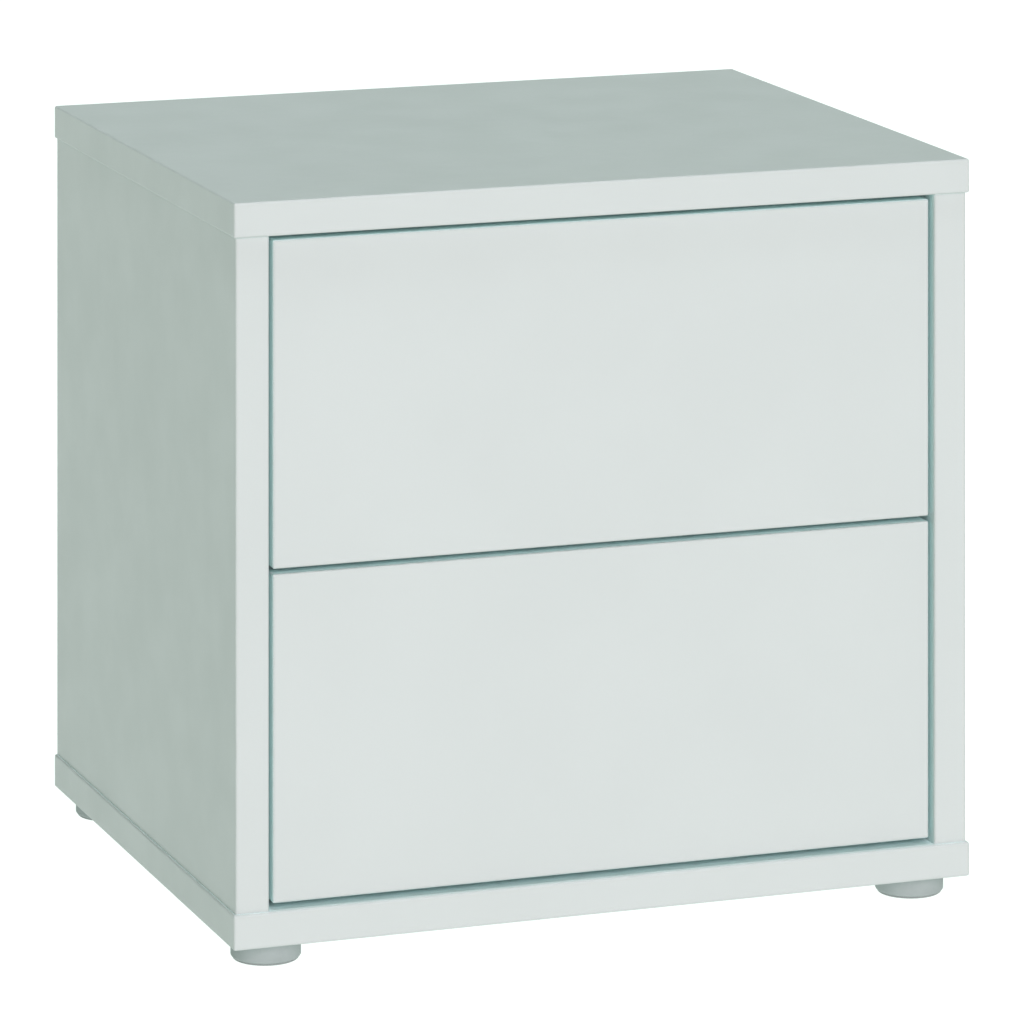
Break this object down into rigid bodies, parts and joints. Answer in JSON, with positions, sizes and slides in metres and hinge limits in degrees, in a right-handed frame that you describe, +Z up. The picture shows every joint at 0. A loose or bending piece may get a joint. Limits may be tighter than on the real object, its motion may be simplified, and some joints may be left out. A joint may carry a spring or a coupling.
{
  "type": "nightstand with drawers",
  "caption": "Box-shaped bedside cabinet on puck feet with flush, handleless push-to-open drawers on ball-bearing runners.",
  "frame": {"origin": "on the floor, under the middle of the cabinet's plan outline", "axes": "+Z up, +X to the right along the front, -Y out of the drawer fronts towards the user"},
  "size_m": [0.45, 0.373, 0.432],
  "materials": {
    "faced_board": "matt pale sage foil on particle board, edges banded to match",
    "box_board": "smooth pale grey foil on particle board",
    "hardboard": "pale sage lacquered hardboard",
    "box_hardboard": "pale grey lacquered hardboard",
    "beech": "plain fluted beech",
    "cam_zinc": "die-cast zinc",
    "zinc_steel": "bright zinc-plated steel",
    "bearing_steel": "polished steel",
    "cage_plastic": "black nylon",
    "latch_plastic": "pale grey moulded plastic",
    "plunger_plastic": "white acetal",
    "foot_plastic": "pale grey moulded plastic"
  },
  "bodies": {
    "case": {"top_panel": "faced_board", "bottom_panel": "faced_board", "left_side_panel": "faced_board", "right_side_panel": "faced_board", "back_panel": "hardboard", "cam_locks": "cam_zinc", "cam_bolts": "zinc_steel", "wood_dowels": "beech", "foot_front_left": "foot_plastic", "foot_front_right": "foot_plastic", "foot_rear_left": "foot_plastic", "foot_rear_right": "foot_plastic", "foot_screws": "zinc_steel", "cabinet_rail_screws": "zinc_steel", "latch_screws": "zinc_steel", "upper_left_cabinet_rail": "zinc_steel", "upper_right_cabinet_rail": "zinc_steel", "upper_latch_housings": "latch_plastic", "upper_latch_springs": "bearing_steel", "lower_left_cabinet_rail": "zinc_steel", "lower_right_cabinet_rail": "zinc_steel", "lower_latch_housings": "latch_plastic", "lower_latch_springs": "bearing_steel"},
    "upper_drawer": {"upper_drawer_front": "faced_board", "upper_drawer_left_side": "box_board", "upper_drawer_right_side": "box_board", "upper_drawer_back": "box_board", "upper_drawer_bottom": "box_hardboard", "upper_drawer_cams": "cam_zinc", "upper_drawer_cam_bolts": "zinc_steel", "upper_drawer_corner_screws": "zinc_steel", "upper_drawer_rail_screws": "zinc_steel", "upper_left_drawer_rail": "zinc_steel", "upper_right_drawer_rail": "zinc_steel"},
    "upper_middle_rails": {"upper_left_middle_rail": "zinc_steel", "upper_right_middle_rail": "zinc_steel"},
    "upper_outer_cages": {"upper_outer_ball_cages": "cage_plastic", "upper_outer_balls": "bearing_steel"},
    "upper_inner_cages": {"upper_inner_ball_cages": "cage_plastic", "upper_inner_balls": "bearing_steel"},
    "upper_plungers": {"upper_latch_plungers": "plunger_plastic"},
    "lower_drawer": {"lower_drawer_front": "faced_board", "lower_drawer_left_side": "box_board", "lower_drawer_right_side": "box_board", "lower_drawer_back": "box_board", "lower_drawer_bottom": "box_hardboard", "lower_drawer_cams": "cam_zinc", "lower_drawer_cam_bolts": "zinc_steel", "lower_drawer_corner_screws": "zinc_steel", "lower_drawer_rail_screws": "zinc_steel", "lower_left_drawer_rail": "zinc_steel", "lower_right_drawer_rail": "zinc_steel"},
    "lower_middle_rails": {"lower_left_middle_rail": "zinc_steel", "lower_right_middle_rail": "zinc_steel"},
    "lower_outer_cages": {"lower_outer_ball_cages": "cage_plastic", "lower_outer_balls": "bearing_steel"},
    "lower_inner_cages": {"lower_inner_ball_cages": "cage_plastic", "lower_inner_balls": "bearing_steel"},
    "lower_plungers": {"lower_latch_plungers": "plunger_plastic"}
  },
  "joints": [
    {"name": "upper_drawer_slide", "type": "slide", "parent": "case", "child": "upper_drawer", "axis": [0, -1, 0], "range_m": [-0.0025, 0.3]},
    {"name": "upper_middle_rails_slide", "type": "slide", "parent": "case", "child": "upper_middle_rails", "axis": [0, -1, 0], "range_m": [-0.0013, 0.1501]},
    {"name": "upper_outer_cages_slide", "type": "slide", "parent": "case", "child": "upper_outer_cages", "axis": [0, -1, 0], "range_m": [-0.0007, 0.0751]},
    {"name": "upper_inner_cages_slide", "type": "slide", "parent": "case", "child": "upper_inner_cages", "axis": [0, -1, 0], "range_m": [-0.0019, 0.2251]},
    {"name": "upper_plungers_press", "type": "slide", "parent": "case", "child": "upper_plungers", "axis": [0, 1, 0], "range_m": [0, 0.002], "stiffness_N_per_m": 120, "deforming": ["upper_latch_springs"]},
    {"name": "lower_drawer_slide", "type": "slide", "parent": "case", "child": "lower_drawer", "axis": [0, -1, 0], "range_m": [-0.0025, 0.3]},
    {"name": "lower_middle_rails_slide", "type": "slide", "parent": "case", "child": "lower_middle_rails", "axis": [0, -1, 0], "range_m": [-0.0013, 0.1501]},
    {"name": "lower_outer_cages_slide", "type": "slide", "parent": "case", "child": "lower_outer_cages", "axis": [0, -1, 0], "range_m": [-0.0007, 0.0751]},
    {"name": "lower_inner_cages_slide", "type": "slide", "parent": "case", "child": "lower_inner_cages", "axis": [0, -1, 0], "range_m": [-0.0019, 0.2251]},
    {"name": "lower_plungers_press", "type": "slide", "parent": "case", "child": "lower_plungers", "axis": [0, 1, 0], "range_m": [0, 0.002], "stiffness_N_per_m": 120, "deforming": ["lower_latch_springs"]}
  ],
  "couplings": [
    {"joint": "upper_middle_rails_slide", "follows": "upper_drawer_slide", "ratio": 0.5},
    {"joint": "upper_outer_cages_slide", "follows": "upper_drawer_slide", "ratio": 0.25},
    {"joint": "upper_inner_cages_slide", "follows": "upper_drawer_slide", "ratio": 0.75},
    {"joint": "lower_middle_rails_slide", "follows": "lower_drawer_slide", "ratio": 0.5},
    {"joint": "lower_outer_cages_slide", "follows": "lower_drawer_slide", "ratio": 0.25},
    {"joint": "lower_inner_cages_slide", "follows": "lower_drawer_slide", "ratio": 0.75}
  ]
}
